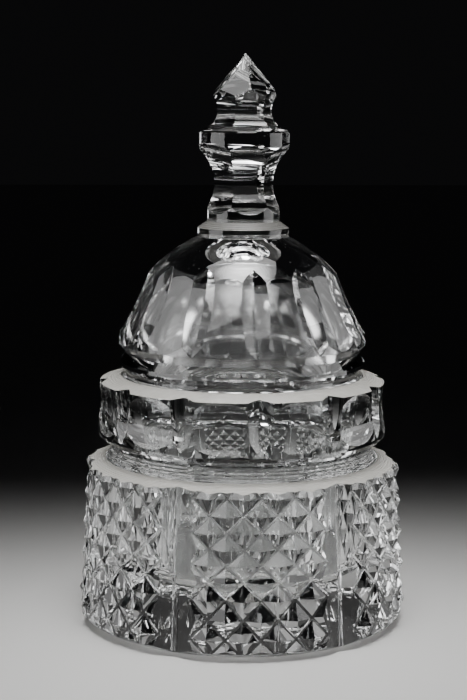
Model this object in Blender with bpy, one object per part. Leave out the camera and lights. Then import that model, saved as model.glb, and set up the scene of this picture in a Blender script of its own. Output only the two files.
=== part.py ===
"""Cut-crystal powder jar with a domed lid, in metres, +Z up.

The origin is the centre of the base, on the surface that the jar stands on.
Two pieces of solid glass: the jar body, a diamond-cut drum under a fluted ring,
and the lid, a hollow fluted dome with a solid six-sided finial.
Azimuth is measured from -Y towards +X, so azimuth 0 is the front.
"""
from math import cos, radians, sin, sqrt, tan

import bmesh
import bpy
from mathutils import Matrix, Vector

# ---------------------------------------------------------------- driving sizes
# Outline points and curves are (radius, height). A curve is four points of a cubic.
TURN_STEPS = 48              # flats round every turned surface
GAP = 0.0003                 # clearance between the lid's seat and the jar's
EDGE_BREAK = 0.0003          # small flat on the mouth's edge
CRYSTAL_IOR = 1.54
POLISH_ROUGHNESS = 0.03
BODY_COLOUR = (0.96, 0.97, 0.97)
LID_COLOUR = (0.97, 0.975, 0.98)

# drum of the jar body
FOOT_RADIUS = 0.0442         # flat that it stands on
DRUM_RADIUS = 0.0524         # turned blank at its widest, just above the heel
HEEL_Z = 0.0064
DRUM_TOP_RADIUS = 0.0499
DRUM_TOP_Z = 0.0492
HEEL_CURVE = ((FOOT_RADIUS, 0), (0.0487, 0), (DRUM_RADIUS, 0.0028), (DRUM_RADIUS, HEEL_Z))

# cove neck, from the inner edge of the sloping ledge
NECK_RADIUS = 0.0407
NECK_Z = 0.0556
COVE_CURVE = ((0.0430, 0.0514), (0.0415, 0.0518), (NECK_RADIUS, 0.0535), (NECK_RADIUS, NECK_Z))

# fluted ring of the jar body
RING_UNDERSIDE = ((0.0410, 0.0562), (0.0438, 0.0577), (0.0451, 0.0590))
RING_TOP = (0.0445, 0.0754)
SEAT_RADIUS = 0.0380         # outer edge of the flat that the lid sits on
SEAT_Z = 0.0773

# hollow of the jar body
MOUTH_RADIUS = 0.0352
FLOOR_RADIUS = 0.0336
FLOOR_Z = 0.0170
FLOOR_FILLET = 0.0060

# diamond cutting on the drum: crossed 45 degree grooves
DIAMONDS_ROUND = 30
DIAMOND_DEPTH = 0.0021
PEAK_SINK = 0.0002           # the peaks lie this far under the turned blank
GROOVE_ROWS = (0.0011, 0.0063, 0.0121, 0.0180, 0.0235, 0.0283, 0.0330, 0.0378, 0.0428, 0.0480, 0.0532)
SLEEVE_RADIUS = 0.0590       # outside of the diamond cutter

# upright clear channels that part the diamond panels
CHANNELS = 6
CHANNEL_DEPTH = 0.0034
CHANNEL_HALF_ANGLE = radians(77)
CHANNEL_OVERRUN = 0.004      # past the drum's top and bottom

# flutes, twelve narrow and twelve wide on both pieces; each curve is a flute's bottom line
FLUTES = 12
CUT_REACH = 0.006            # how far a cutter stands out of its groove
NARROW_HALF_ANGLE = radians(60)
RING_NARROW_CURVE = ((0.0420, 0.0790), (0.0420, 0.0680), (0.0423, 0.0632), (0.0462, 0.0584))
RING_WIDE_CURVE = ((0.0450, 0.0766), (0.0428, 0.0725), (0.0428, 0.0630), (0.0458, 0.0588))
RING_WIDE_HALF = 0.0105      # half width of the cutter
RING_HOLLOW_RADIUS = 0.200   # crosswise curve of the wide cuts
DOME_OUTWARD = (cos(radians(24)), sin(radians(24)))   # square to the dome's flank
DOME_NARROW_CURVE = ((0.0260, 0.1134), (0.0279, 0.1045), (0.0308, 0.0955), (0.0394, 0.0862))
DOME_WIDE_CURVE = ((0.0283, 0.1106), (0.0311, 0.1026), (0.0347, 0.0950), (0.0392, 0.0866))
DOME_WIDE_HALF = 0.0085
DOME_HOLLOW_RADIUS = 0.060

# lid: flange, collar, dome and the disc under the finial
FLANGE_RADIUS = 0.0346
FLANGE_BORE = 0.0305
FLANGE_LOW_Z = 0.0666
FLANGE_BREAK = 0.0006
COLLAR_FOOT_RADIUS = 0.0367
COLLAR = ((0.0370, 0.0792), (0.0384, 0.0806), (0.0382, 0.0818), (0.0374, 0.0832), (0.0366, 0.0845))
DOME_CURVE = ((0.0386, 0.0874), (0.0386, 0.0935), (0.0335, 0.1035), (0.0289, 0.1095))
CROWN_CURVE = ((0.0289, 0.1095), (0.0260, 0.1133), (0.0200, 0.1176), (0.0152, 0.1200))
HOLLOW_CURVE = ((0, 0.1130), (0.0130, 0.1130), (0.0265, 0.1030), (0.0300, 0.0850))
DISC_RADIUS = 0.0142
DISC_LOW_Z = 0.1204
DISC_TOP_Z = 0.1231

# finial: a turned blank trimmed to six sides
FINIAL_TURN = radians(4)     # its six faces sit this far round from the flutes
STEM_RADIUS = 0.0112
STEM_LOW_Z = 0.1252
STEM_HIGH_Z = 0.1330
BELT_RADIUS = 0.0139
BELT_LOW_Z = 0.1440
BELT_TOP_Z = 0.1524
HEAD_RADIUS = 0.0098
SHOULDER = ((0.0116, 0.1542), (HEAD_RADIUS, 0.1565))
APEX_Z = 0.1765
SPARE = 0.002                # blank left above the apex for the point to be cut from
PYRAMID_SLOPE = 0.752        # face distance from the axis per metre below the apex
LOWER_WAIST = (0.0080, 0.1368, 0.0149, 0.0149)   # radius, height, sweep below, sweep above
LOWER_FACES_Z = (0.1262, 0.1494)
UPPER_WAIST = (0.0073, 0.1590, 0.0062, 0.0092)
UPPER_FACES_Z = (0.1530, 0.1665)
CLEAR_RADIUS = 0.0150        # cutter radius where it stays off the finial
WIDE_RADIUS = 0.0600         # and where it stays off the dome
CUTTER_LOW_Z = 0.0600
CUTTER_TOP_Z = 0.1800


# ---------------------------------------------------------------- mesh helpers
def clear_scene():
    for item in list(bpy.data.objects):
        bpy.data.objects.remove(item, do_unlink=True)


def glass(name, colour):
    """A clear lead-crystal material."""
    material = bpy.data.materials.new(name)
    material.use_nodes = True
    shader = material.node_tree.nodes["Principled BSDF"]
    shader.inputs["Base Color"].default_value = (*colour, 1)
    shader.inputs["Roughness"].default_value = POLISH_ROUGHNESS
    shader.inputs["Metallic"].default_value = 0
    shader.inputs["IOR"].default_value = CRYSTAL_IOR
    shader.inputs["Transmission Weight"].default_value = 1
    return material


def add_object(name, bm):
    mesh = bpy.data.meshes.new(name)
    bmesh.ops.recalc_face_normals(bm, faces=bm.faces)
    bm.to_mesh(mesh)
    bm.free()
    piece = bpy.data.objects.new(name, mesh)
    bpy.context.scene.collection.objects.link(piece)
    return piece


def arc(centre, radius, start, end, count):
    """Points (r, z) round a centre, from angle start to end in degrees."""
    angles = [radians(start + (end - start) * k / (count - 1)) for k in range(count)]
    return [(centre[0] + radius * cos(a), centre[1] + radius * sin(a)) for a in angles]


def along(curve, count):
    """Points (r, z) along a cubic curve, ends included."""
    points = []
    for k in range(count):
        t = k / (count - 1)
        weights = ((1 - t) ** 3, 3 * t * (1 - t) ** 2, 3 * t * t * (1 - t), t ** 3)
        points.append(tuple(sum(w * p[i] for w, p in zip(weights, curve)) for i in (0, 1)))
    return points


def turned(name, profile, steps=TURN_STEPS, start=0.0):
    """Spin an (r, z) profile that starts and ends on the axis into a closed solid."""
    bm = bmesh.new()
    rotate = Matrix.Rotation(start, 3, "Z")
    verts = [bm.verts.new(rotate @ Vector((0, -r, z))) for r, z in profile]
    edges = [bm.edges.new(pair) for pair in zip(verts, verts[1:])]
    bmesh.ops.spin(bm, geom=verts + edges, cent=(0, 0, 0), axis=(0, 0, 1),
                   angle=radians(360), steps=steps, use_merge=True)
    bmesh.ops.remove_doubles(bm, verts=bm.verts, dist=1e-6)
    return add_object(name, bm)


def as_cutter(piece):
    piece.hide_render = True
    piece.display_type = "WIRE"
    return piece


def cut(piece, cutter, operation="DIFFERENCE"):
    modifier = piece.modifiers.new(cutter.name, "BOOLEAN")
    modifier.object = cutter
    modifier.operation = operation
    modifier.solver = "EXACT"


# ---------------------------------------------------------------- wheel cuts
def v_section(half_angle, reach):
    """Section of a mitre cut: (sideways, outward) from its bottom line."""
    side = reach * tan(half_angle)
    return [(-side, reach), (0, 0), (side, reach)]


def hollow_section(half_width, hollow_radius, reach):
    """Section of a shallow hollow cut, closed by a box that reaches outwards."""
    steps = 4
    across = [half_width * (2 * k / steps - 1) for k in range(steps + 1)]
    curve = [(x, x * x / (2 * hollow_radius)) for x in across]
    return [(-half_width, reach)] + curve + [(half_width, reach)]


def groove_ring(name, path, outward, section, count, first=0.0):
    """One cutter that holds a groove at each of count places round the axis.

    path is the groove's bottom line (r, z) and outward the direction (r, z) that it opens to.
    """
    bm = bmesh.new()
    for k in range(count):
        turn = Matrix.Rotation(first + radians(360) * k / count, 3, "Z")
        rings = []
        for point in path:
            ring = []
            for side, out in section:
                r, z = point[0] + outward[0] * out, point[1] + outward[1] * out
                ring.append(bm.verts.new(turn @ Vector((side, -r, z))))
            rings.append(ring)
        for low, high in zip(rings, rings[1:]):
            for i in range(len(section)):
                j = (i + 1) % len(section)
                bm.faces.new((low[i], low[j], high[j], high[i]))
        bm.faces.new(rings[0])
        bm.faces.new(rings[-1])
    return as_cutter(add_object(name, bm))


# ---------------------------------------------------------------- jar body
def drum_radius(z):
    """Radius of the drum's turned blank at a height."""
    t = (z - HEEL_Z) / (DRUM_TOP_Z - HEEL_Z)
    return DRUM_RADIUS + (DRUM_TOP_RADIUS - DRUM_RADIUS) * t


def jar_profile():
    """Half outline of the jar body: underside, outside, then the hollow."""
    drum_top = (DRUM_TOP_RADIUS, DRUM_TOP_Z)
    mouth = [(SEAT_RADIUS, SEAT_Z), (MOUTH_RADIUS + EDGE_BREAK, SEAT_Z), (MOUTH_RADIUS, SEAT_Z - EDGE_BREAK)]
    fillet = arc((FLOOR_RADIUS - FLOOR_FILLET, FLOOR_Z + FLOOR_FILLET), FLOOR_FILLET, 0, -90, 4)
    return [(0, 0), *along(HEEL_CURVE, 5), drum_top, *along(COVE_CURVE, 4), *RING_UNDERSIDE, RING_TOP,
            *mouth, *fillet, (0, FLOOR_Z)]


def diamond_sleeve():
    """Sleeve whose bore carries the crossed grooves, as a grid of peaks and crossings."""
    columns = 2 * DIAMONDS_ROUND
    bore = []
    bm = bmesh.new()
    for row, z in enumerate(GROOVE_ROWS):
        ring = []
        for column in range(columns):
            crossing = (row + column) % 2 == 1
            sink = DIAMOND_DEPTH if crossing else PEAK_SINK
            angle = radians(360) * column / columns
            r = drum_radius(z) - sink
            ring.append(bm.verts.new((r * sin(angle), -r * cos(angle), z)))
        bore.append(ring)
    outer = []
    for z in (GROOVE_ROWS[0], GROOVE_ROWS[-1]):
        angles = [radians(360) * column / columns for column in range(columns)]
        outer.append([bm.verts.new((SLEEVE_RADIUS * sin(a), -SLEEVE_RADIUS * cos(a), z)) for a in angles])
    for row, (low, high) in enumerate(zip(bore, bore[1:])):
        for i in range(columns):
            j = (i + 1) % columns
            if (row + i) % 2 == 1:        # low[i] and high[j] are crossings
                bm.faces.new((low[i], low[j], high[j]))
                bm.faces.new((low[i], high[j], high[i]))
            else:
                bm.faces.new((low[i], low[j], high[i]))
                bm.faces.new((low[j], high[j], high[i]))
    for i in range(columns):
        j = (i + 1) % columns
        bm.faces.new((outer[0][i], outer[0][j], outer[1][j], outer[1][i]))
        bm.faces.new((bore[0][i], bore[0][j], outer[0][j], outer[0][i]))
        bm.faces.new((bore[-1][i], bore[-1][j], outer[1][j], outer[1][i]))
    return as_cutter(add_object("diamond_sleeve", bm))


def channel_cutter():
    """The upright V channels between the diamond panels."""
    path = [(drum_radius(z) - CHANNEL_DEPTH, z) for z in (-CHANNEL_OVERRUN, DRUM_TOP_Z + CHANNEL_OVERRUN)]
    section = v_section(CHANNEL_HALF_ANGLE, CUT_REACH)
    return groove_ring("channels", path, (1, 0), section, CHANNELS, radians(180 / CHANNELS))


def ring_narrow_cutter():
    """Mitre flutes on the ring: open at the ledge, run out to a point at the lower edge."""
    section = v_section(NARROW_HALF_ANGLE, CUT_REACH)
    return groove_ring("ring_narrow", along(RING_NARROW_CURVE, 7), (1, 0), section, FLUTES)


def ring_wide_cutter():
    """Shallow round-ended hollows between the narrow flutes of the ring."""
    section = hollow_section(RING_WIDE_HALF, RING_HOLLOW_RADIUS, CUT_REACH)
    path = along(RING_WIDE_CURVE, 7)
    return groove_ring("ring_wide", path, (1, 0), section, FLUTES, radians(180 / FLUTES))


def make_jar():
    jar = turned("jar_body", jar_profile())
    for cutter in (diamond_sleeve(), channel_cutter(), ring_narrow_cutter(), ring_wide_cutter()):
        cut(jar, cutter)
    jar.data.materials.append(glass("crystal_body", BODY_COLOUR))


# ---------------------------------------------------------------- lid
def finial_blank():
    """Half outline of the finial's turned blank, from the disc up to the axis."""
    disc = [(DISC_RADIUS, DISC_LOW_Z), (DISC_RADIUS, DISC_TOP_Z), (STEM_RADIUS, STEM_LOW_Z)]
    belt = [(STEM_RADIUS, STEM_HIGH_Z), (BELT_RADIUS, BELT_LOW_Z), (BELT_RADIUS, BELT_TOP_Z)]
    head = [(HEAD_RADIUS, APEX_Z + SPARE), (0, APEX_Z + SPARE)]
    return [*disc, *belt, *SHOULDER, *head]


def lid_profile():
    """Half outline of the lid before cutting: hollow, flange, collar, dome and finial blank."""
    flange = [(FLANGE_BORE, FLANGE_LOW_Z + FLANGE_BREAK), (FLANGE_BORE + FLANGE_BREAK, FLANGE_LOW_Z),
              (FLANGE_RADIUS - FLANGE_BREAK, FLANGE_LOW_Z), (FLANGE_RADIUS, FLANGE_LOW_Z + FLANGE_BREAK)]
    seat = [(FLANGE_RADIUS, SEAT_Z + GAP), (COLLAR_FOOT_RADIUS, SEAT_Z + GAP)]
    dome = along(DOME_CURVE, 7) + along(CROWN_CURVE, 6)[1:]
    return [*along(HOLLOW_CURVE, 8), *flange, *seat, *COLLAR, *dome, *finial_blank()]


def waist(shape, z):
    """Distance of a finial face from the axis: a circular sweep either side of its waist."""
    radius, height, below, above = shape
    sweep = below if z < height else above
    return radius + sweep - sqrt(max(0, sweep ** 2 - (z - height) ** 2))


def faces(shape, span, count):
    """Outline of the six hollowed faces round one waist."""
    heights = [span[0] + (span[1] - span[0]) * k / (count - 1) for k in range(count)]
    return [(waist(shape, z), z) for z in heights]


def finial_envelope():
    """Six-sided solid with hollowed faces that the finial's blank is trimmed to."""
    lower, upper = faces(LOWER_WAIST, LOWER_FACES_Z, 10), faces(UPPER_WAIST, UPPER_FACES_Z, 9)
    skirt = [(WIDE_RADIUS, CUTTER_LOW_Z), (WIDE_RADIUS, lower[0][1])]
    belt = [(CLEAR_RADIUS, lower[-1][1] + GAP), (CLEAR_RADIUS, upper[0][1] - GAP)]
    top = [(CLEAR_RADIUS, APEX_Z), (CLEAR_RADIUS, CUTTER_TOP_Z)]
    corner = 1 / cos(radians(30))
    sides = [(r * corner, z) for r, z in [*skirt, *lower, *belt, *upper, *top]]
    profile = [(0, CUTTER_LOW_Z), *sides, (0, CUTTER_TOP_Z)]
    return as_cutter(turned("finial_faces", profile, 6, FINIAL_TURN + radians(30)))


def finial_pyramid():
    """Six-sided point, its edges over the middles of the faces below."""
    corner = PYRAMID_SLOPE * (APEX_Z - CUTTER_LOW_Z) / cos(radians(30))
    profile = [(0, CUTTER_LOW_Z), (corner, CUTTER_LOW_Z), (0, APEX_Z)]
    return as_cutter(turned("finial_point", profile, 6, FINIAL_TURN))


def dome_narrow_cutter():
    """Mitre flutes down the dome, pointed at both ends."""
    section = v_section(NARROW_HALF_ANGLE, CUT_REACH)
    return groove_ring("dome_narrow", along(DOME_NARROW_CURVE, 9), DOME_OUTWARD, section, FLUTES)


def dome_wide_cutter():
    """Round-topped hollow flutes between the narrow ones."""
    section = hollow_section(DOME_WIDE_HALF, DOME_HOLLOW_RADIUS, CUT_REACH)
    path = along(DOME_WIDE_CURVE, 7)
    return groove_ring("dome_wide", path, DOME_OUTWARD, section, FLUTES, radians(180 / FLUTES))


def make_lid():
    lid = turned("lid", lid_profile())
    cut(lid, finial_envelope(), "INTERSECT")
    cut(lid, finial_pyramid(), "INTERSECT")
    cut(lid, dome_narrow_cutter())
    cut(lid, dome_wide_cutter())
    lid.data.materials.append(glass("crystal_lid", LID_COLOUR))


def main():
    clear_scene()
    make_jar()
    make_lid()


main()
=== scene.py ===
"""Looks of the cut-crystal powder jar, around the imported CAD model. Metres, +Z up.

Both pieces are cut from fine turned blanks by the same wheel cuts as the CAD solids,
with rounded groove bottoms and the small irregularity of hand cutting.
Azimuth is measured from -Y towards +X, so azimuth 0 is the front.
"""
import random
from math import cos, hypot, pi, radians, sin, sqrt, tan

import bmesh
import bpy
from mathutils import Matrix, Vector


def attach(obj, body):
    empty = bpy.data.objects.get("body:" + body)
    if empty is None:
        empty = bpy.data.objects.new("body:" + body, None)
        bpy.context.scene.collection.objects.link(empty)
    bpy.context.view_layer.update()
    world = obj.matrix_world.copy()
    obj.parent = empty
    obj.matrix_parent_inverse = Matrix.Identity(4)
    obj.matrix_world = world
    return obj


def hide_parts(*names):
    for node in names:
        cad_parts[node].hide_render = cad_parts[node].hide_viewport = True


SEED = 12

# ---------------------------------------------------------------- sizes of the CAD model
# Outline points and curves are (radius, height). A curve is four points of a cubic.
GAP = 0.0003                 # clearance between the lid's seat and the jar's
EDGE_BREAK = 0.0003

FOOT_RADIUS = 0.0442
DRUM_RADIUS = 0.0524
HEEL_Z = 0.0064
DRUM_TOP_RADIUS = 0.0499
DRUM_TOP_Z = 0.0492
HEEL_CURVE = ((FOOT_RADIUS, 0), (0.0487, 0), (DRUM_RADIUS, 0.0028), (DRUM_RADIUS, HEEL_Z))
NECK_RADIUS = 0.0407
NECK_Z = 0.0556
COVE_CURVE = ((0.0430, 0.0514), (0.0415, 0.0518), (NECK_RADIUS, 0.0535), (NECK_RADIUS, NECK_Z))
RING_UNDERSIDE = ((0.0410, 0.0562), (0.0438, 0.0577), (0.0451, 0.0590))
RING_TOP = (0.0445, 0.0754)
SEAT_RADIUS = 0.0380
SEAT_Z = 0.0773
MOUTH_RADIUS = 0.0352
FLOOR_RADIUS = 0.0336
FLOOR_Z = 0.0170
FLOOR_FILLET = 0.0060

DIAMONDS_ROUND = 30
DIAMOND_DEPTH = 0.0021
PEAK_SINK = 0.0002
GROOVE_ROWS = (0.0011, 0.0063, 0.0121, 0.0180, 0.0235, 0.0283,
               0.0330, 0.0378, 0.0428, 0.0480, 0.0532)
SLEEVE_RADIUS = 0.0590
CHANNELS = 6
CHANNEL_DEPTH = 0.0034
CHANNEL_HALF_ANGLE = radians(77)
CHANNEL_OVERRUN = 0.004

FLUTES = 12
CUT_REACH = 0.006
NARROW_HALF_ANGLE = radians(60)
RING_NARROW_CURVE = ((0.0420, 0.0790), (0.0420, 0.0680), (0.0423, 0.0632), (0.0462, 0.0584))
RING_WIDE_CURVE = ((0.0450, 0.0766), (0.0428, 0.0725), (0.0428, 0.0630), (0.0458, 0.0588))
RING_WIDE_HALF = 0.0105
RING_HOLLOW_RADIUS = 0.200
DOME_OUTWARD = (cos(radians(24)), sin(radians(24)))
DOME_NARROW_CURVE = ((0.0260, 0.1134), (0.0279, 0.1045), (0.0308, 0.0955), (0.0394, 0.0862))
DOME_WIDE_CURVE = ((0.0283, 0.1106), (0.0311, 0.1026), (0.0347, 0.0950), (0.0392, 0.0866))
DOME_WIDE_HALF = 0.0085
DOME_HOLLOW_RADIUS = 0.060

FLANGE_RADIUS = 0.0346
FLANGE_BORE = 0.0305
FLANGE_LOW_Z = 0.0666
FLANGE_BREAK = 0.0006
COLLAR_FOOT_RADIUS = 0.0367
COLLAR = ((0.0370, 0.0792), (0.0384, 0.0806), (0.0382, 0.0818), (0.0374, 0.0832),
          (0.0366, 0.0845))
DOME_CURVE = ((0.0386, 0.0874), (0.0386, 0.0935), (0.0335, 0.1035), (0.0289, 0.1095))
CROWN_CURVE = ((0.0289, 0.1095), (0.0260, 0.1133), (0.0200, 0.1176), (0.0152, 0.1200))
HOLLOW_CURVE = ((0, 0.1130), (0.0130, 0.1130), (0.0265, 0.1030), (0.0300, 0.0850))
DISC_RADIUS = 0.0142
DISC_LOW_Z = 0.1204
DISC_TOP_Z = 0.1231

FINIAL_TURN = radians(4)
STEM_RADIUS = 0.0112
STEM_LOW_Z = 0.1252
STEM_HIGH_Z = 0.1330
BELT_RADIUS = 0.0139
BELT_LOW_Z = 0.1440
BELT_TOP_Z = 0.1524
HEAD_RADIUS = 0.0098
SHOULDER = ((0.0116, 0.1542), (HEAD_RADIUS, 0.1565))
APEX_Z = 0.1765
SPARE = 0.002
PYRAMID_SLOPE = 0.752
LOWER_WAIST = (0.0080, 0.1368, 0.0149, 0.0149)
LOWER_FACES_Z = (0.1262, 0.1494)
UPPER_WAIST = (0.0073, 0.1590, 0.0062, 0.0092)
UPPER_FACES_Z = (0.1530, 0.1665)
CLEAR_RADIUS = 0.0150
WIDE_RADIUS = 0.0600
CUTTER_LOW_Z = 0.0600
CUTTER_TOP_Z = 0.1800

# ---------------------------------------------------------------- finish of the fine model
TURN_STEPS = 240             # facets round a turned surface
HEEL_POINTS = 14             # points along each curve
FILLET_POINTS = 13
HOLLOW_POINTS = 32
DOME_POINTS = 24
CROWN_POINTS = 16
RING_CUT_POINTS = 25
DOME_NARROW_POINTS = 29
DOME_WIDE_POINTS = 25
LOWER_FACE_POINTS = 28
UPPER_FACE_POINTS = 24
SECTION_STEPS = 12           # facets across a wide flute
CHANNEL_STEPS = 8            # facets across the rounded bottom of a channel
RING_STEPS = 8               # facets along one of the cove's fine rings
GROOVE_FLAT = 0.11           # share of a diamond that its grooves' rounded bottoms take
GROOVE_HOLLOW = 0.00005      # how far the middle of a groove's bottom lies under its edges
ANGLE_PLAY = radians(0.35)   # irregularity of the hand-cut grooves
DEPTH_PLAY = 0.00008         # and of the diamonds' peaks
FLUTE_PLAY = radians(0.25)   # irregularity of the flutes
FLUTE_DEPTH_PLAY = 0.00005
TURNING_RINGS = 5            # fine rings left in the cove
TURNING_DEPTH = 0.00011
CHANNEL_FLAT = 0.0011        # half width of the rounded bottom of a channel
CHANNEL_HOLLOW = 0.0005      # depth of that rounding
SHARP_ANGLE = radians(16)    # edges under this are polished over
HAZE_TOP_Z = 0.1065          # the hollow's haze reaches up to here
FINIAL_LEAN = 0.0004         # the finial's point stands this far to the right
CONE_TOLERANCE = 0.00004     # how near a face lies to the cone whose finish it takes
CONE_OVERRUN = 0.02          # share of a cone's length

# ---------------------------------------------------------------- materials
# Noise settings are (scale, detail, roughness); ranges are (from, to).
GLASS_INDEX = 1.54
JAR_TINT = (0.97, 0.98, 0.98)
LID_TINT = (0.975, 0.98, 0.985)
WAVES, WAVE_STRENGTH = (160.0, 2.0, 0.45), 0.012
HAZE, HAZE_RANGE, HAZE_ROUGHNESS = (60.0, 4.0, 0.6), (0.45, 0.75), (0.0, 0.05)
SPECKS, SPECK_RANGE, SPECK_ROUGHNESS = (1100.0, 1.0, 0.5), (0.76, 0.79), (0.0, 0.6)

JAR_GROUND_TINT = (0.54, 0.53, 0.505)
# The lid's ground crystal uses the jar's ground crystal with a much darker tint. This is painted
# shade that dims the finial's brightly lit disc ledge.
LID_GROUND_PAINTED_SHADE_TINT = (0.20, 0.198, 0.19)
GROUND_DARK = (0.55, 0.54, 0.50)   # share of the tint that is left in the darkest lines
GROUND_ROUGHNESS = 0.45
GROUND_TRANSMISSION = 0.45
GROUND_STRENGTH = 0.8
GRAIN = (900.0, 3.0, 0.6)
CLOUDS = (120.0, 4.0, 0.6)
GRINDING_LINES = {"Scale": 420.0, "Distortion": 3.0, "Detail": 3.0, "Detail_Scale": 0.6}
LINES_IN_BUMP = 0.5
LINES_IN_COLOUR = 0.45

VEIL_TINT = (0.80, 0.80, 0.80)
VEIL_TRANSMISSION = 0.98
VEIL, VEIL_RANGE, VEIL_ROUGHNESS = (90.0, 4.0, 0.6), (0.3, 0.7), (0.13, 0.22)
VEIL_STRENGTH = 0.05
BUMP_DISTANCE = 0.0002

# ---------------------------------------------------------------- camera and stage
LENS_PIXELS = 1665.5         # focal length for a picture 700 high
PICTURE_HEIGHT = 700
SENSOR_HEIGHT = 24.0         # millimetres
CLIP_START = 0.01
CAMERA_TURN = radians(-6.63)
CAMERA_PLACE = (-0.00273, -0.5173, 0.1596)   # before the turn about the object's axis
CAMERA_PITCH = radians(8.246)
CAMERA_ROLL = radians(0.38)
FLOOR_DROP = 0.0002
FLOOR_SIZE = 6.0
FLOOR_COLOUR = (0.55, 0.545, 0.535, 1)
FLOOR_ROUGHNESS = 0.7
STUDIO_COLOUR = (0.004, 0.004, 0.0043, 1)
# Lights: name, size, radiance, place.
POOL_LIGHT = ("pool_light", (0.30, 0.22), 1.7, (0.0, -0.10, 0.38))
POOL_TARGET = (0, -0.06, 0)
POOL_SPREAD = 44             # degrees
BOX_SPREAD = 180
BOX_TARGET = (0, 0, 0.09)
SOFTBOXES = (
    ("top_box", (0.70, 0.60), 4.4, (0.0, -0.10, 0.90)),
    ("front_box", (1.20, 0.50), 3.2, (-0.15, -1.20, 0.90)),
    ("left_box", (0.70, 0.80), 3.2, (-0.80, -0.15, 0.35)),
    ("right_box", (0.70, 0.80), 2.6, (0.80, -0.10, 0.35)),
)


# ---------------------------------------------------------------- mesh helpers
def add_object(name, verts, faces):
    mesh = bpy.data.meshes.new(name)
    mesh.from_pydata([tuple(v) for v in verts], [], faces)
    bm = bmesh.new()
    bm.from_mesh(mesh)
    bmesh.ops.recalc_face_normals(bm, faces=bm.faces)
    bm.to_mesh(mesh)
    bm.free()
    piece = bpy.data.objects.new(name, mesh)
    bpy.context.scene.collection.objects.link(piece)
    return piece


def arc(centre, radius, start, end, count):
    """Points (r, z) round a centre, from angle start to end in degrees."""
    angles = [radians(start + (end - start) * k / (count - 1)) for k in range(count)]
    return [(centre[0] + radius * cos(a), centre[1] + radius * sin(a)) for a in angles]


def along(curve, count):
    """Points (r, z) along a cubic curve, ends included."""
    points = []
    for k in range(count):
        t = k / (count - 1)
        weights = ((1 - t) ** 3, 3 * t * (1 - t) ** 2, 3 * t * t * (1 - t), t ** 3)
        points.append(tuple(sum(w * p[i] for w, p in zip(weights, curve)) for i in (0, 1)))
    return points


def place(angle, r, z):
    """Point at an azimuth, radius and height."""
    return (r * sin(angle), -r * cos(angle), z)


def turned(name, profile, steps=TURN_STEPS, start=0.0):
    """Closed solid of an (r, z) profile that starts and ends on the axis."""
    verts, rings, faces = [], [], []
    for r, z in profile:
        count = 1 if r < 1e-9 else steps
        rings.append(range(len(verts), len(verts) + count))
        verts += [place(start + 2 * pi * k / steps, r, z) for k in range(count)]
    for low, high in zip(rings, rings[1:]):
        for k in range(steps):
            j = (k + 1) % steps
            if len(low) == 1:
                faces.append((low[0], high[j], high[k]))
            elif len(high) == 1:
                faces.append((low[k], low[j], high[0]))
            else:
                faces.append((low[k], low[j], high[j], high[k]))
    return add_object(name, verts, faces)


def cut(piece, cutter, operation="DIFFERENCE"):
    modifier = piece.modifiers.new(cutter.name, "BOOLEAN")
    modifier.object = cutter
    modifier.operation = operation
    modifier.solver = "EXACT"


def settle(piece):
    """Apply a piece's cuts, remove the cutters, and keep only crisp edges sharp."""
    cutters = [m.object for m in piece.modifiers]
    graph = bpy.context.evaluated_depsgraph_get()
    mesh = bpy.data.meshes.new_from_object(piece.evaluated_get(graph), depsgraph=graph)
    piece.modifiers.clear()
    piece.data = mesh
    for cutter in cutters:
        bpy.data.objects.remove(cutter, do_unlink=True)
    mesh.polygons.foreach_set("use_smooth", [True] * len(mesh.polygons))
    mesh.set_sharp_from_angle(angle=SHARP_ANGLE)
    return piece


# ---------------------------------------------------------------- wheel cuts
def v_section(half_angle, reach):
    """Section of a mitre cut: (sideways, outward) from its bottom line."""
    side = reach * tan(half_angle)
    return [(-side, reach), (0, 0), (side, reach)]


def hollow_section(half_width, hollow_radius, reach, steps=SECTION_STEPS):
    """Section of a shallow hollow cut, closed by a box that reaches outwards."""
    across = [half_width * (2 * k / steps - 1) for k in range(steps + 1)]
    curve = [(x, x * x / (2 * hollow_radius)) for x in across]
    return [(-half_width, reach)] + curve + [(half_width, reach)]


def round_bottomed(half_angle, reach, half_width, depth, steps=CHANNEL_STEPS):
    """Section of a mitre cut whose bottom line is opened to a narrow hollow."""
    side, rise = reach * tan(half_angle), half_width / tan(half_angle)
    across = [half_width * (2 * k / steps - 1) for k in range(steps + 1)]
    hollow = [(x, rise - depth * (1 - (x / half_width) ** 2)) for x in across]
    return [(-side, reach)] + hollow + [(side, reach)]


def groove_ring(name, path, outward, section, count, first=0.0, play=None):
    """One cutter that holds a groove at each of count places round the axis."""
    verts, faces = [], []
    size = len(section)
    for k in range(count):
        angle = first + 2 * pi * k / count
        sink = 0.0
        if play:
            angle += play.uniform(-FLUTE_PLAY, FLUTE_PLAY)
            sink = play.uniform(-FLUTE_DEPTH_PLAY, FLUTE_DEPTH_PLAY)
        turn = Matrix.Rotation(angle, 3, "Z")
        base = len(verts)
        for point in path:
            for side, out in section:
                r = point[0] + outward[0] * (out + sink)
                z = point[1] + outward[1] * (out + sink)
                verts.append(turn @ Vector((side, -r, z)))
        for step in range(len(path) - 1):
            low = base + step * size
            for i in range(size):
                j = (i + 1) % size
                faces.append((low + i, low + j, low + size + j, low + size + i))
        faces.append(tuple(range(base, base + size)))
        faces.append(tuple(range(len(verts) - size, len(verts))))
    return add_object(name, verts, faces)


# ---------------------------------------------------------------- jar body
def drum_radius(z):
    """Radius of the drum's turned blank at a height."""
    t = (z - HEEL_Z) / (DRUM_TOP_Z - HEEL_Z)
    return DRUM_RADIUS + (DRUM_TOP_RADIUS - DRUM_RADIUS) * t


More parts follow.
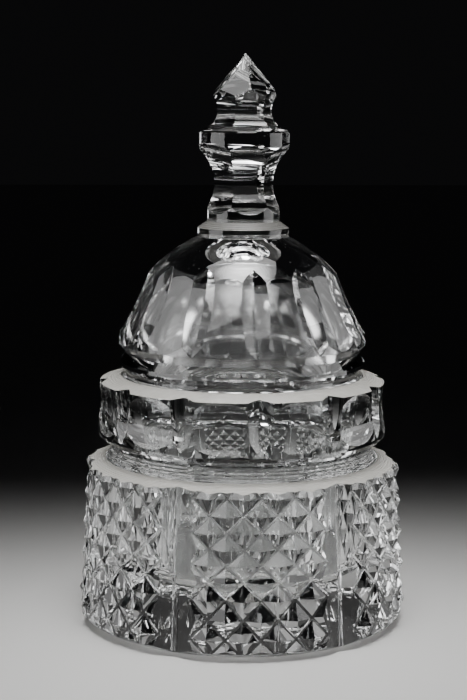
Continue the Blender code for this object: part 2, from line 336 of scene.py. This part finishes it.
def cove():
    """The polished cove under the ring, with the fine rings of its turning."""
    count = RING_STEPS * TURNING_RINGS + 1
    points = along(COVE_CURVE, count)
    wave = []
    for k, (r, z) in enumerate(points):
        t = k / (count - 1)
        before, after = points[max(k - 1, 0)], points[min(k + 1, count - 1)]
        tangent = (after[0] - before[0], after[1] - before[1])
        length = hypot(*tangent)
        ripple = TURNING_DEPTH * sin(2 * pi * TURNING_RINGS * t) * sin(pi * t)
        wave.append((r + ripple * tangent[1] / length, z - ripple * tangent[0] / length))
    return wave


def jar_profile():
    """Half outline of the jar body: underside, outside, then the hollow."""
    drum_top = (DRUM_TOP_RADIUS, DRUM_TOP_Z)
    mouth = [(SEAT_RADIUS, SEAT_Z), (MOUTH_RADIUS + EDGE_BREAK, SEAT_Z),
             (MOUTH_RADIUS, SEAT_Z - EDGE_BREAK)]
    fillet_centre = (FLOOR_RADIUS - FLOOR_FILLET, FLOOR_Z + FLOOR_FILLET)
    fillet = arc(fillet_centre, FLOOR_FILLET, 0, -90, FILLET_POINTS)
    return [(0, 0), *along(HEEL_CURVE, HEEL_POINTS), drum_top, *cove(), *RING_UNDERSIDE,
            RING_TOP, *mouth, *fillet, (0, FLOOR_Z)]


def row_height(row):
    """Height of a groove row; a fraction lies between two rows."""
    low = min(max(int(row // 1), 0), len(GROOVE_ROWS) - 2)
    return GROOVE_ROWS[low] + (GROOVE_ROWS[low + 1] - GROOVE_ROWS[low]) * (row - low)


def diamond_sleeve(play):
    """Sleeve whose bore carries two families of spiral grooves and the diamonds between them."""
    columns, rows = 2 * DIAMONDS_ROUND, len(GROOVE_ROWS)
    step = 2 * pi / columns
    neighbours = {"left": (0, -1), "right": (0, 1), "down": (-1, 0), "up": (1, 0)}
    rising = [play.uniform(-ANGLE_PLAY, ANGLE_PLAY) for _ in range(columns)]
    falling = [play.uniform(-ANGLE_PLAY, ANGLE_PLAY) for _ in range(columns)]

    def crossing(row, column):
        """Angle and row of a crossing, moved as the two grooves through it are."""
        up, down = rising[(column - row) % columns], falling[(column + row) % columns]
        return column * step + (up + down) / 2, row + (down - up) / (2 * step)

    verts, faces = [], []

    def vertex(angle, row, sink):
        z = row_height(row)
        verts.append(place(angle, drum_radius(z) - sink, z))
        return len(verts) - 1

    diamonds = {}
    for row in range(rows):
        for column in range(row % 2, columns, 2):
            around = {}
            for side, (dr, dc) in neighbours.items():
                if 0 <= row + dr < rows:
                    around[side] = crossing(row + dr, column + dc)
            angle = (around["left"][0] + around["right"][0]) / 2
            level = (around["left"][1] + around["right"][1]) / 2
            corners = {}
            for side, (a, level_there) in around.items():
                a += (angle - a) * GROOVE_FLAT
                level_there += (level - level_there) * GROOVE_FLAT
                corners[side] = vertex(a, level_there, DIAMOND_DEPTH)
            corners["peak"] = vertex(angle, level, PEAK_SINK + play.uniform(0, DEPTH_PLAY))
            diamonds[row, column] = corners
            for one, two in (("left", "down"), ("down", "right"), ("right", "up"), ("up", "left")):
                if one in corners and two in corners:
                    faces.append((corners[one], corners[two], corners["peak"]))

    def middle(one, two):
        """Point half way between two groove edges, on the groove's bottom line."""
        a, b = Vector(verts[one]), Vector(verts[two])
        point = (a + b) / 2
        flat = Vector((point.x, point.y, 0))
        verts.append(tuple(point - flat.normalized() * GROOVE_HOLLOW))
        return len(verts) - 1

    ends = {}
    for row in range(rows):
        for column in range((row + 1) % 2, columns, 2):
            west = diamonds[row, (column - 1) % columns]
            east = diamonds[row, (column + 1) % columns]
            loop = [west["right"]]
            for other, here, there in ((row - 1, "up", east["left"]),
                                       (row + 1, "down", west["right"])):
                if 0 <= other < rows:
                    corner = diamonds[other, column][here]
                    first = middle(loop[-1], corner)
                    second = middle(corner, there)
                    ends[row, column, other, 0] = first
                    ends[row, column, other, 1] = second
                    loop += [first, corner, second]
                if there != west["right"]:
                    loop.append(there)
            hub = vertex(*crossing(row, column), DIAMOND_DEPTH + GROOVE_HOLLOW)
            faces += [(hub, loop[k], loop[(k + 1) % len(loop)]) for k in range(len(loop))]
    for row in range(rows - 1):
        for column in range((row + 1) % 2, columns, 2):
            right, left = (column + 1) % columns, (column - 1) % columns
            # groove up and to the right, between the diamond above and the one to the right
            above, beside = diamonds[row + 1, column], diamonds[row, right]
            low, high = ends[row, column, row + 1, 0], ends[row + 1, right, row, 0]
            faces.append((above["down"], low, high, above["right"]))
            faces.append((low, beside["left"], beside["up"], high))
            # groove up and to the left
            beside = diamonds[row, left]
            low, high = ends[row, column, row + 1, 1], ends[row + 1, left, row, 1]
            faces.append((above["down"], low, high, above["left"]))
            faces.append((low, beside["right"], beside["up"], high))

    outer = []
    for row in (0, rows - 1):
        bore, rim = [], []
        for column in range(row % 2, columns, 2):
            bore += [diamonds[row, column][side] for side in ("left", "peak", "right")]
        for inner in bore:
            x, y, z = verts[inner]
            scale = SLEEVE_RADIUS / hypot(x, y)
            verts.append((x * scale, y * scale, z))
            rim.append(len(verts) - 1)
        for k in range(len(bore)):
            j = (k + 1) % len(bore)
            faces.append((bore[k], bore[j], rim[j], rim[k]))
        outer.append(rim)
    low, high = outer
    for k in range(len(low)):
        j = (k + 1) % len(low)
        faces.append((low[k], low[j], high[j], high[k]))
    return add_object("diamond_sleeve", verts, faces)


def channel_cutter():
    """The upright channels between the diamond panels."""
    ends = (-CHANNEL_OVERRUN, DRUM_TOP_Z + CHANNEL_OVERRUN)
    path = [(drum_radius(z) - CHANNEL_DEPTH, z) for z in ends]
    section = round_bottomed(CHANNEL_HALF_ANGLE, CUT_REACH, CHANNEL_FLAT, CHANNEL_HOLLOW)
    return groove_ring("channels", path, (1, 0), section, CHANNELS, pi / CHANNELS)


def ring_cutters(play):
    """The ring's mitre flutes and the shallow round-ended hollows between them."""
    narrow = v_section(NARROW_HALF_ANGLE, CUT_REACH)
    wide = hollow_section(RING_WIDE_HALF, RING_HOLLOW_RADIUS, CUT_REACH)
    narrow_path = along(RING_NARROW_CURVE, RING_CUT_POINTS)
    wide_path = along(RING_WIDE_CURVE, RING_CUT_POINTS)
    return (groove_ring("ring_narrow", narrow_path, (1, 0), narrow, FLUTES, 0, play),
            groove_ring("ring_wide", wide_path, (1, 0), wide, FLUTES, pi / FLUTES, play))


def make_jar():
    play = random.Random(SEED)
    jar = turned("cut_jar", jar_profile())
    for cutter in (diamond_sleeve(play), channel_cutter(), *ring_cutters(play)):
        cut(jar, cutter)
    return settle(jar)


# ---------------------------------------------------------------- lid
def finial_blank():
    """Half outline of the finial's turned blank, from the disc up to the axis."""
    disc = [(DISC_RADIUS, DISC_LOW_Z), (DISC_RADIUS, DISC_TOP_Z), (STEM_RADIUS, STEM_LOW_Z)]
    belt = [(STEM_RADIUS, STEM_HIGH_Z), (BELT_RADIUS, BELT_LOW_Z), (BELT_RADIUS, BELT_TOP_Z)]
    head = [(HEAD_RADIUS, APEX_Z + SPARE), (0, APEX_Z + SPARE)]
    return [*disc, *belt, *SHOULDER, *head]


def lid_profile():
    """Half outline of the lid before cutting: hollow, flange, collar, dome and finial blank."""
    flange = [(FLANGE_BORE, FLANGE_LOW_Z + FLANGE_BREAK),
              (FLANGE_BORE + FLANGE_BREAK, FLANGE_LOW_Z),
              (FLANGE_RADIUS - FLANGE_BREAK, FLANGE_LOW_Z),
              (FLANGE_RADIUS, FLANGE_LOW_Z + FLANGE_BREAK)]
    seat = [(FLANGE_RADIUS, SEAT_Z + GAP), (COLLAR_FOOT_RADIUS, SEAT_Z + GAP)]
    dome = along(DOME_CURVE, DOME_POINTS) + along(CROWN_CURVE, CROWN_POINTS)[1:]
    return [*along(HOLLOW_CURVE, HOLLOW_POINTS), *flange, *seat, *COLLAR, *dome,
            *finial_blank()]


def waist(shape, z):
    """Distance of a finial face from the axis: a circular sweep either side of its waist."""
    radius, height, below, above = shape
    sweep = below if z < height else above
    return radius + sweep - sqrt(max(0, sweep ** 2 - (z - height) ** 2))


def faces_outline(shape, span, count):
    """Outline of the six hollowed faces round one waist."""
    heights = [span[0] + (span[1] - span[0]) * k / (count - 1) for k in range(count)]
    return [(waist(shape, z), z) for z in heights]


def finial_envelope():
    """Six-sided solid with hollowed faces that the finial's blank is trimmed to."""
    lower = faces_outline(LOWER_WAIST, LOWER_FACES_Z, LOWER_FACE_POINTS)
    upper = faces_outline(UPPER_WAIST, UPPER_FACES_Z, UPPER_FACE_POINTS)
    skirt = [(WIDE_RADIUS, CUTTER_LOW_Z), (WIDE_RADIUS, lower[0][1])]
    belt = [(CLEAR_RADIUS, lower[-1][1] + GAP), (CLEAR_RADIUS, upper[0][1] - GAP)]
    top = [(CLEAR_RADIUS, APEX_Z), (CLEAR_RADIUS, CUTTER_TOP_Z)]
    corner = 1 / cos(radians(30))
    sides = [(r * corner, z) for r, z in [*skirt, *lower, *belt, *upper, *top]]
    profile = [(0, CUTTER_LOW_Z), *sides, (0, CUTTER_TOP_Z)]
    return turned("finial_faces", profile, 6, FINIAL_TURN + radians(30))


def finial_pyramid():
    """Six-sided point, its edges over the middles of the faces below."""
    corner = PYRAMID_SLOPE * (APEX_Z - CUTTER_LOW_Z) / cos(radians(30))
    profile = [(0, CUTTER_LOW_Z), (corner, CUTTER_LOW_Z), (0, APEX_Z)]
    return turned("finial_point", profile, 6, FINIAL_TURN)


def dome_cutters(play):
    """The dome's mitre flutes and the round-topped hollow flutes between them."""
    narrow = v_section(NARROW_HALF_ANGLE, CUT_REACH)
    wide = hollow_section(DOME_WIDE_HALF, DOME_HOLLOW_RADIUS, CUT_REACH)
    narrow_path = along(DOME_NARROW_CURVE, DOME_NARROW_POINTS)
    wide_path = along(DOME_WIDE_CURVE, DOME_WIDE_POINTS)
    return (groove_ring("dome_narrow", narrow_path, DOME_OUTWARD, narrow, FLUTES, 0, play),
            groove_ring("dome_wide", wide_path, DOME_OUTWARD, wide, FLUTES, pi / FLUTES, play))


def make_lid():
    play = random.Random(SEED + 1)
    lid = turned("cut_lid", lid_profile())
    cut(lid, finial_envelope(), "INTERSECT")
    cut(lid, finial_pyramid(), "INTERSECT")
    for cutter in dome_cutters(play):
        cut(lid, cutter)
    settle(lid)
    for vert in lid.data.vertices:
        rise = min(max((vert.co.z - DISC_TOP_Z) / (APEX_Z - DISC_TOP_Z), 0), 1)
        vert.co.x += FINIAL_LEAN * rise
    return lid


# ---------------------------------------------------------------- materials
def new_material(name):
    """A material with its tree and its Principled shader."""
    material = bpy.data.materials.new(name)
    material.use_nodes = True
    tree = material.node_tree
    return material, tree, tree.nodes["Principled BSDF"]


def new_glass(name, transmission):
    """A material of lead crystal that lets this share of the light through."""
    material, tree, shader = new_material(name)
    shader.inputs["IOR"].default_value = GLASS_INDEX
    shader.inputs["Transmission Weight"].default_value = transmission
    return material, tree, shader


def node(tree, kind, **settings):
    """A node with its properties and its inputs set by name."""
    made = tree.nodes.new(kind)
    for key, value in settings.items():
        if hasattr(made, key):
            setattr(made, key, value)
        else:
            made.inputs[key.replace("_", " ")].default_value = value
    return made


def on_object(tree, texture):
    """The value of a texture that is fixed to the object."""
    where = node(tree, "ShaderNodeTexCoord")
    tree.links.new(where.outputs["Object"], texture.inputs["Vector"])
    return texture.outputs["Fac"]


def noise(tree, settings):
    scale, detail, roughness = settings
    return on_object(tree, node(tree, "ShaderNodeTexNoise", Scale=scale, Detail=detail,
                                Roughness=roughness))


def stretch(tree, value, source, result):
    """A value stretched from one range to another and held inside it."""
    made = node(tree, "ShaderNodeMapRange", From_Min=source[0], From_Max=source[1],
                To_Min=result[0], To_Max=result[1])
    tree.links.new(value, made.inputs["Value"])
    return made.outputs["Result"]


def mix(tree, factor, one, two):
    """A mix of two colours; each argument is a socket or a fixed value."""
    made = node(tree, "ShaderNodeMix", data_type="RGBA")
    for key, value in (("Factor", factor), ("A", one), ("B", two)):
        if isinstance(value, bpy.types.NodeSocket):
            tree.links.new(value, made.inputs[key])
        else:
            made.inputs[key].default_value = value
    return made.outputs["Result"]


def emboss(tree, shader, height, strength):
    """Fine relief on a shader's normal."""
    bump = node(tree, "ShaderNodeBump", Strength=strength, Distance=BUMP_DISTANCE)
    tree.links.new(height, bump.inputs["Height"])
    tree.links.new(bump.outputs["Normal"], shader.inputs["Normal"])


def crystal(name, tint):
    """Polished lead crystal: faint polishing waves, patches of haze and sparse specks."""
    material, tree, shader = new_glass(name, 1.0)
    shader.inputs["Base Color"].default_value = (*tint, 1)
    emboss(tree, shader, noise(tree, WAVES), WAVE_STRENGTH)
    rough = node(tree, "ShaderNodeMath", operation="MAXIMUM")
    for socket, settings, source, result in (
            (rough.inputs[0], HAZE, HAZE_RANGE, HAZE_ROUGHNESS),
            (rough.inputs[1], SPECKS, SPECK_RANGE, SPECK_ROUGHNESS)):
        tree.links.new(stretch(tree, noise(tree, settings), source, result), socket)
    tree.links.new(rough.outputs["Value"], shader.inputs["Roughness"])
    return material


def ground(name, tint):
    """Ground, unpolished crystal: a satin skin with grain, grinding lines and clouding."""
    material, tree, shader = new_glass(name, GROUND_TRANSMISSION)
    shader.inputs["Roughness"].default_value = GROUND_ROUGHNESS
    rings = on_object(tree, node(tree, "ShaderNodeTexWave", wave_type="RINGS",
                                 rings_direction="Z", **GRINDING_LINES))
    height = mix(tree, LINES_IN_BUMP, noise(tree, GRAIN), rings)
    emboss(tree, shader, height, GROUND_STRENGTH)
    dark = tuple(channel * share for channel, share in zip(tint, GROUND_DARK))
    factor = mix(tree, LINES_IN_COLOUR, noise(tree, CLOUDS), rings)
    colour = mix(tree, factor, (*dark, 1), (*tint, 1))
    tree.links.new(colour, shader.inputs["Base Color"])
    return material


def hazed(name, tint):
    """The inside of the dome behind the flutes: clear glass under an uneven thin haze."""
    material, tree, shader = new_glass(name, VEIL_TRANSMISSION)
    shader.inputs["Base Color"].default_value = (*tint, 1)
    cloud = noise(tree, VEIL)
    tree.links.new(stretch(tree, cloud, VEIL_RANGE, VEIL_ROUGHNESS), shader.inputs["Roughness"])
    emboss(tree, shader, cloud, VEIL_STRENGTH)
    return material


def near_cone(point, low, high):
    """Whether a point lies on the cone between two outline points (r, z)."""
    r, z = hypot(point[0], point[1]), point[2]
    dr, dz = high[0] - low[0], high[1] - low[1]
    length = hypot(dr, dz)
    t = ((r - low[0]) * dr + (z - low[1]) * dz) / length ** 2
    away = abs((r - low[0]) * dz - (z - low[1]) * dr) / length
    return -CONE_OVERRUN < t < 1 + CONE_OVERRUN and away < CONE_TOLERANCE


def give_finish(piece, slot, cones):
    """Another material slot on the faces that lie on the given cones."""
    for polygon in piece.data.polygons:
        if any(near_cone(polygon.center, *cone) for cone in cones):
            polygon.material_index = slot


# ---------------------------------------------------------------- stage
def make_floor():
    half = FLOOR_SIZE / 2
    corners = [(-half, -half), (half, -half), (half, half), (-half, half)]
    floor = add_object("floor", [(x, y, -FLOOR_DROP) for x, y in corners], [(0, 1, 2, 3)])
    material, _, shader = new_material("pale_floor")
    shader.inputs["Base Color"].default_value = FLOOR_COLOUR
    shader.inputs["Roughness"].default_value = FLOOR_ROUGHNESS
    floor.data.materials.append(material)


def soft_light(name, size, radiance, place_at, target, spread, only=None):
    """A softbox that looks at a target; spread is the angle of its beam in degrees."""
    data = bpy.data.lights.new(name, "AREA")
    data.shape = "RECTANGLE"
    data.size, data.size_y = size
    data.energy = radiance * pi * size[0] * size[1]
    data.spread = radians(spread)
    lamp = bpy.data.objects.new(name, data)
    bpy.context.scene.collection.objects.link(lamp)
    lamp.location = place_at
    lamp.rotation_euler = (Vector(target) - Vector(place_at)).to_track_quat("-Z", "Y").to_euler()
    if only:
        lamp.light_linking.receiver_collection = only


def make_lights(pieces):
    """A pool of light on the floor, and large softboxes that light only the crystal."""
    crystal_only = bpy.data.collections.new("crystal_only")
    for piece in pieces:
        crystal_only.objects.link(piece)
    soft_light(*POOL_LIGHT, POOL_TARGET, POOL_SPREAD)
    for box in SOFTBOXES:
        soft_light(*box, BOX_TARGET, BOX_SPREAD, crystal_only)
    world = bpy.data.worlds.new("studio")
    world.use_nodes = True
    world.node_tree.nodes["Background"].inputs["Color"].default_value = STUDIO_COLOUR
    bpy.context.scene.world = world


def make_camera():
    data = bpy.data.cameras.new("camera")
    data.sensor_fit = "VERTICAL"
    data.sensor_height = SENSOR_HEIGHT
    data.lens = LENS_PIXELS / PICTURE_HEIGHT * SENSOR_HEIGHT
    data.clip_start = CLIP_START
    camera = bpy.data.objects.new("camera", data)
    bpy.context.scene.collection.objects.link(camera)
    turn = Matrix.Rotation(CAMERA_TURN, 4, "Z")
    tilt = Matrix.Rotation(radians(90) - CAMERA_PITCH, 4, "X")
    roll = Matrix.Rotation(CAMERA_ROLL, 4, "Z")
    camera.matrix_world = turn @ Matrix.Translation(CAMERA_PLACE) @ (tilt @ roll)
    bpy.context.scene.camera = camera


# ---------------------------------------------------------------- build
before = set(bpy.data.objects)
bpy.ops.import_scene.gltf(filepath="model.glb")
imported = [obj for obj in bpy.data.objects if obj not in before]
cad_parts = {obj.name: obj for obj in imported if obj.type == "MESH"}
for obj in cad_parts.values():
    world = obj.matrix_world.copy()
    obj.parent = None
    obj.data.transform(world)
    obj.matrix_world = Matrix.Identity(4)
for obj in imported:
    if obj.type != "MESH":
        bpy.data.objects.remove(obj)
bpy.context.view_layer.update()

jar = make_jar()
jar.data.materials.clear()
jar.data.materials.append(crystal("polished_crystal_jar", JAR_TINT))
jar.data.materials.append(ground("ground_crystal_jar", JAR_GROUND_TINT))
drum_ledge = ((DRUM_TOP_RADIUS, DRUM_TOP_Z), COVE_CURVE[0])
ring_ledge = (RING_TOP, (SEAT_RADIUS, SEAT_Z))
give_finish(jar, 1, [drum_ledge, ring_ledge])
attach(jar, "jar")
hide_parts("jar_body")

lid = make_lid()
lid.data.materials.clear()
lid.data.materials.append(crystal("polished_crystal_lid", LID_TINT))
# Painted shade: the lid's ground finish is a darker copy of the jar's, so the lit disc ledge looks
# dimmer.
lid.data.materials.append(ground("ground_crystal_lid_painted_shade", LID_GROUND_PAINTED_SHADE_TINT))
lid.data.materials.append(hazed("hazed_crystal_lid", VEIL_TINT))
give_finish(lid, 1, [((DISC_RADIUS, DISC_TOP_Z), (STEM_RADIUS, STEM_LOW_Z))])
hollow = along(HOLLOW_CURVE, HOLLOW_POINTS)
give_finish(lid, 2, [pair for pair in zip(hollow, hollow[1:]) if pair[0][1] < HAZE_TOP_Z])
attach(lid, "lid")
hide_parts("lid")

make_floor()
make_lights([jar, lid])
make_camera()
